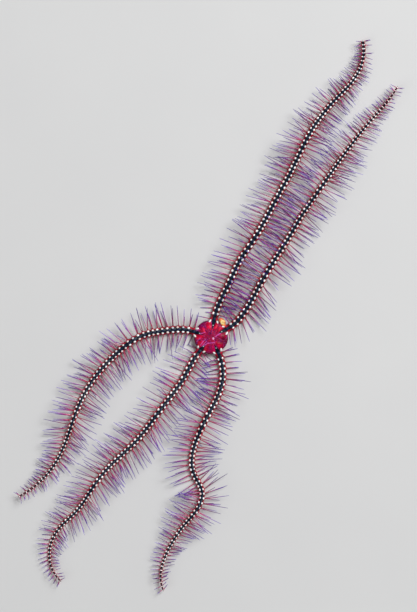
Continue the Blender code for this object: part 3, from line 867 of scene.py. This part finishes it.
class Shader:
    """Builds one material, with a call for each kind of node."""

    def __init__(self, name):
        self.material = bpy.data.materials.new(name)
        self.material.use_nodes = True
        self.tree = self.material.node_tree
        self.surface = self.tree.nodes["Principled BSDF"]
        self.position = self.node("TexCoord", {}).outputs["Object"]

    def feed(self, socket, value):
        if isinstance(value, bpy.types.NodeSocket):
            self.tree.links.new(value, socket)
        else:
            socket.default_value = value

    def node(self, kind, inputs, **settings):
        """A new node with these settings, and with sockets or values for its inputs."""
        made = self.tree.nodes.new("ShaderNode" + kind)
        for key, value in settings.items():
            setattr(made, key, value)
        for key, value in inputs.items():
            self.feed(made.inputs[key], value)
        return made

    def read(self, attribute):
        return self.node("Attribute", {}, attribute_name=attribute).outputs["Fac"]

    def math(self, operation, a, b=0.0, clamp=False):
        return self.node("Math", {0: a, 1: b}, operation=operation, use_clamp=clamp).outputs[0]

    def plus(self, first, *others):
        for other in others:
            first = self.math("ADD", first, other)
        return first

    def minus(self, a, b):
        return self.math("SUBTRACT", a, b)

    def times(self, first, *others):
        for other in others:
            first = self.math("MULTIPLY", first, other)
        return first

    def smooth(self, low, high, value):
        """0 at low and 1 at high, eased between. Low may be above high."""
        start, end = (1, 0) if low > high else (0, 1)
        span = {"From Min": min(low, high), "From Max": max(low, high), "To Min": start, "To Max": end}
        made = self.node("MapRange", {"Value": value, **span}, interpolation_type="SMOOTHSTEP")
        return made.outputs["Result"]

    def noise(self, size, detail=2.0):
        """Noise whose features are about one size across, in metres."""
        inputs = {"Scale": 1 / size, "Detail": detail, "Vector": self.position}
        return self.node("TexNoise", inputs).outputs["Fac"]

    def cells(self, size):
        return self.node("TexVoronoi", {"Scale": 1 / size, "Vector": self.position}).outputs["Distance"]

    def mix(self, share, a, b):
        a, b = (value if isinstance(value, bpy.types.NodeSocket) else (*value, 1.0) for value in (a, b))
        return self.node("Mix", {0: share, 6: a, 7: b}, data_type="RGBA").outputs[2]

    def ramp(self, share, stops):
        made = self.node("ValToRGB", {"Fac": share})
        elements = made.color_ramp.elements
        while len(elements) < len(stops):
            elements.new(0.5)
        for element, (place, colour) in zip(elements, stops):
            element.position = place
            element.color = (*colour, 1.0)
        return made.outputs["Color"]

    def bump(self, height, distance, strength=0.5):
        inputs = {"Strength": strength, "Distance": distance, "Height": height}
        self.feed(self.surface.inputs["Normal"], self.node("Bump", inputs).outputs["Normal"])

    def finish(self, colour, roughness, **constants):
        for key, value in {"Base_Color": colour, "Roughness": roughness, **constants}.items():
            self.feed(self.surface.inputs[key.replace("_", " ")], value)
        return self.material


def arm_skin_material():
    s = Shader("arm_skin")
    side, above = s.math("ABSOLUTE", s.read("across")), s.read("above")
    phase, fleck = s.math("FRACT", s.read("seg")), s.noise(0.35 * MM, 3.0)

    # The stripe over the upper plates, a little ragged and narrower near the disc, with a painted sheen along
    # each plate's keel
    wobble = s.times(s.minus(s.noise(0.5 * MM), 0.5), 0.05)
    narrow = s.times(s.smooth(0.06, 0.0, s.read("share")), 0.09)
    stripe = s.times(s.smooth(0.31, 0.28, s.plus(side, wobble, narrow)), s.smooth(0.5, 0.62, above))
    dark = s.mix(s.smooth(0.4, 0.7, fleck), (0.0012, 0.0025, 0.006), (0.0022, 0.012, 0.026))
    # Painted sheen: a brighter blue along the keel in the middle of each plate, over the stripe's own dark
    # blue
    plate = s.times(s.smooth(0.2, 0.5, phase), s.smooth(0.92, 0.72, phase))
    dark = s.mix(s.times(s.smooth(0.20, 0.05, side), plate, 0.7), dark, (0.003, 0.018, 0.07))

    # The flanks, brighter on each plate and dark at the joints
    flank = s.mix(s.smooth(0.35, 0.65, s.noise(1.1 * MM, 3.0)), (0.20, 0.002, 0.012), (0.42, 0.005, 0.026))
    swell = s.times(s.smooth(0.35, 0.6, phase), s.smooth(0.95, 0.75, phase))
    flank = s.mix(s.times(swell, 0.5), flank, (0.62, 0.016, 0.06))
    joint = s.math("MAXIMUM", s.smooth(0.10, 0.0, phase), s.smooth(0.93, 1.0, phase))
    flank = s.mix(s.times(joint, 0.7), flank, (0.06, 0.001, 0.012))

    # The paler underside, with a row of plates and a dark pore on each side of them
    plate_side = s.smooth(0.19, 0.15, side)
    plate_run = s.times(s.smooth(0.0, 0.07, phase), s.smooth(1.0, 0.93, phase))
    belly = s.mix(s.times(plate_side, plate_run), (0.30, 0.014, 0.04), (0.50, 0.10, 0.14))
    belly = s.mix(s.times(s.smooth(0.3, 0.7, s.noise(0.5 * MM, 3.0)), 0.3), belly, (0.40, 0.03, 0.06))
    beside = s.smooth(0.03, 0.015, s.math("ABSOLUTE", s.minus(side, 0.215)))
    halfway = s.smooth(0.12, 0.06, s.math("ABSOLUTE", s.minus(phase, 0.5)))
    belly = s.mix(s.times(beside, halfway), belly, (0.10, 0.003, 0.02))
    flank = s.mix(s.smooth(0.16, 0.03, above), flank, belly)

    s.bump(s.plus(s.noise(0.09 * MM), s.times(s.cells(0.16 * MM), 0.6)), 0.03 * MM)
    rough = s.plus(0.36, s.times(fleck, 0.2))
    return s.finish(s.mix(stripe, flank, dark), rough, Specular_IOR_Level=0.16, Coat_Weight=0.04, **FLESH)


def disc_skin_material():
    s = Shader("disc_skin")
    edge, reach, glow = s.read("edge"), s.read("reach"), s.read("glow")
    line, upper = s.math("ABSOLUTE", s.read("line")), s.read("upper")
    patch, fine = s.noise(1.7 * MM, 3.0), s.noise(0.40 * MM, 3.0)

    # The scales, darker in their seams, with painted shade in the dark patches and towards the rim
    tone = s.plus(s.times(fine, 0.5), s.times(s.read("tone"), 0.5))
    scaly = s.mix(tone, (0.20, 0.0004, 0.024), (0.66, 0.002, 0.060))
    scaly = s.mix(s.smooth(0.02, 0.10, s.read("scale")), (0.07, 0.0003, 0.03), scaly)
    # Painted shade on the scales: where the brightness patches fall below zero, and towards the rim
    shade = s.times(s.smooth(-0.1, -0.5, glow), 0.6)
    rim = s.times(s.smooth(4.9, 6.0, reach), 0.75)
    scaly = s.mix(s.math("MAXIMUM", shade, rim), scaly, (0.035, 0.0004, 0.016))

    # The shields, mottled, lighter with painted highlight and darker with painted shade by the brightness
    # patches, with lilac along stretches of their outline
    level = s.plus(s.times(patch, 0.5), s.times(fine, 0.5), s.times(glow, 0.24))
    stops = (
        (0.24, (0.07, 0.0002, 0.010)),
        (0.42, (0.26, 0.0004, 0.020)),
        (0.55, (0.56, 0.0010, 0.034)),
        (0.69, (0.86, 0.005, 0.07)),
        (0.84, (0.98, 0.12, 0.22)),
    )
    colour = s.mix(s.smooth(-0.05, 0.06, edge), scaly, s.ramp(level, stops))
    trim = s.times(s.smooth(-0.17, -0.10, edge), s.smooth(0.03, -0.03, edge))
    stretch = s.times(s.smooth(0.4, 0.6, patch), 0.7)
    colour = s.mix(s.times(trim, stretch), colour, (0.36, 0.05, 0.34))
    violet = s.math("MULTIPLY", s.read("violet"), s.smooth(0.3, 0.7, fine), clamp=True)
    colour = s.mix(violet, colour, (0.36, 0.003, 0.20))

    # The arms' stripes, which run out towards the middle, and the fine lines and the pale spot
    half = s.times(s.smooth(1.8, 6.6, reach), 0.95)
    inside = s.minus(half, s.plus(line, s.times(fine, 0.12)))
    stripe = s.times(s.smooth(-0.05, 0.07, inside), upper, s.smooth(2.5, 3.1, reach))
    colour = s.mix(stripe, colour, s.mix(fine, (0.001, 0.002, 0.005), (0.003, 0.012, 0.03)))
    colour = s.mix(s.times(s.read("lilac"), 0.85), colour, (0.62, 0.10, 0.44))
    colour = s.mix(s.read("spot"), colour, (0.86, 0.40, 0.70))

    # The paler underside, with its bands and seams
    belly = s.mix(s.smooth(0.2, 0.8, fine), (0.36, 0.03, 0.06), (0.48, 0.07, 0.12))
    band = s.times(s.smooth(1.2, 1.1, line), s.smooth(2.8, 3.2, reach))
    belly = s.mix(s.times(band, 0.6), belly, (0.52, 0.11, 0.15))
    belly = s.mix(s.smooth(0.13, 0.03, s.read("seam")), belly, (0.16, 0.006, 0.03))

    s.bump(s.noise(0.12 * MM), 0.03 * MM)
    rough = s.plus(0.30, s.times(fine, 0.16))
    return s.finish(s.mix(upper, belly, colour), rough, Specular_IOR_Level=0.12, Coat_Weight=0.02, **FLESH)


def spine_material():
    s = Shader("spine_glass")
    along, tone = s.read("along"), s.read("tone")
    banded = s.plus(along, s.times(s.minus(s.noise(1.3 * MM), 0.5), 0.18))
    stops = (
        (0.0, (0.26, 0.003, 0.018)),
        (0.14, (0.50, 0.010, 0.07)),
        (0.36, (0.42, 0.014, 0.22)),
        (0.62, (0.17, 0.016, 0.36)),
        (1.0, (0.035, 0.018, 0.42)),
    )
    # Painted light on the spines: by tone, a share get a pale colour as painted glints, and a share a
    # near-black one as painted shade
    pale = s.mix(s.smooth(0.1, 0.8, along), (0.80, 0.16, 0.34), (0.30, 0.18, 0.78))
    colour = s.mix(s.times(s.smooth(0.72, 0.95, tone), 0.7), s.ramp(banded, stops), pale)
    colour = s.mix(s.times(s.smooth(0.3, 0.0, tone), 0.6), colour, (0.04, 0.002, 0.045))
    s.bump(s.noise(0.08 * MM), 0.02 * MM)
    return s.finish(colour, 0.2, Transmission_Weight=0.1, IOR=1.5, Coat_Weight=0.15, Coat_Roughness=0.08)


def bead_material():
    s = Shader("white_bead")
    tone = s.read("tone")
    colour = s.mix(s.smooth(0.6, 1.0, tone), (0.95, 0.95, 0.92), (0.88, 0.68, 0.62))
    colour = s.mix(s.times(s.smooth(0.12, 0.0, tone), 0.7), colour, (0.35, 0.45, 0.50))
    colour = s.mix(s.times(s.smooth(0.55, 0.75, s.noise(0.25 * MM)), 0.2), colour, (0.70, 0.55, 0.50))
    s.bump(s.noise(0.10 * MM), 0.02 * MM, 0.4)
    glow = {"Subsurface_Weight": 0.1, "Subsurface_Radius": (1.0, 0.8, 0.7), "Subsurface_Scale": 0.3 * MM}
    return s.finish(colour, 0.16, Coat_Weight=0.6, Coat_Roughness=0.06, **glow)


def amber_material():
    s = Shader("amber")
    x, y, z = AMBER_MIDDLE
    crown = s.node("VectorMath", {0: s.position, 1: (x, y, z + 0.7 * MM)}, operation="DISTANCE")
    blotch = s.noise(0.7 * MM, 1.0)
    away = s.plus(crown.outputs["Value"], s.times(blotch, 0.8 * MM))
    amber = s.mix(s.smooth(0.38, 0.60, blotch), (0.92, 0.36, 0.012), (0.99, 0.80, 0.36))
    colour = s.mix(s.smooth(1.1 * MM, 1.7 * MM, away), amber, (0.86, 0.16, 0.07))
    s.bump(s.noise(0.25 * MM), 0.04 * MM)
    return s.finish(colour, 0.22, Specular_IOR_Level=0.35, Coat_Weight=0.15, **FLESH)


def floor_material():
    s = Shader("studio_floor")
    return s.finish(s.mix(s.noise(40 * MM), (0.60, 0.60, 0.60), (0.63, 0.63, 0.625)), 0.6)


# The view and the light


def make_camera():
    data = bpy.data.cameras.new("camera")
    data.sensor_fit = "VERTICAL"
    data.sensor_height = 24.0
    data.lens = data.sensor_height * VIEW_DISTANCE / VIEW_HEIGHT
    data.clip_start = 0.01
    bpy.context.scene.camera = add_object("camera", data, (*VIEW_MIDDLE, VIEW_DISTANCE))


def make_light(name, place, size, power):
    data = bpy.data.lights.new(name, "AREA")
    data.shape, data.size, data.energy = "SQUARE", size, power
    away = np.subtract(place, LIT_PLACE)
    turn = (math.acos(away[2] / np.linalg.norm(away)), 0.0, math.atan2(away[0], -away[1]))
    add_object(name, data, place, turn)


def make_stage():
    corners = [(x * FLOOR_HALF, y * FLOOR_HALF, 0) for x, y in ((-1, -1), (1, -1), (1, 1), (-1, 1))]
    floor = build_mesh("floor", corners, [[(0, 1, 2, 3)]])
    floor.data.materials.append(floor_material())
    floor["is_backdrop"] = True
    for light in LIGHTS:
        make_light(*light)
    world = bpy.data.worlds.new("studio")
    world.use_nodes = True
    background = world.node_tree.nodes["Background"]
    background.inputs["Color"].default_value = WORLD_COLOUR
    background.inputs["Strength"].default_value = WORLD_STRENGTH
    bpy.context.scene.world = world
    bpy.context.scene.view_settings.view_transform = "Standard"


def dress(piece, material, slot, *nodes):
    piece.data.materials.append(material)
    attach(piece, "root")
    if nodes:
        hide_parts(*nodes)


def main():
    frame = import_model()
    cad_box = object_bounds()
    make_camera()
    make_stage()
    arm_skin, glass, bead = arm_skin_material(), spine_material(), bead_material()
    dress(make_disc_skin("disc_skin"), disc_skin_material(), "disc_skin", "disc")
    dress(make_beads("disc_marks", *disc_marks(np.random.default_rng(SEED))), bead, "disc_skin")
    dress(make_amber("amber_swelling"), amber_material(), "disc_skin")
    draw = np.random.default_rng(SEED)
    dress(make_spines("disc_spines", disc_spines(draw), draw, thorns=4), glass, "disc_skin")
    courses = {name: course_of(arm) for name, arm in ARMS.items()}
    lines = {name: body_line(ARMS[name], course) for name, course in courses.items()}
    for i, (name, arm) in enumerate(ARMS.items()):
        draw = np.random.default_rng(SEED + i)
        course = courses[name]
        lengths = sorted(node for node in frame["nodes"] if node.startswith(f"{name}_"))
        dress(make_arm_skin(f"{name}_skin", arm, course), arm_skin, "arm_plates", *lengths)
        table = clear_of_bodies(spine_table(arm, course, draw), name, lines)
        dress(make_spines(f"{name}_spines", table, draw), glass, "arm_plates")
        dress(make_beads(f"{name}_beads", *arm_beads(arm, course, draw)), bead, "arm_plates")
    return cad_box


cad_box = main()
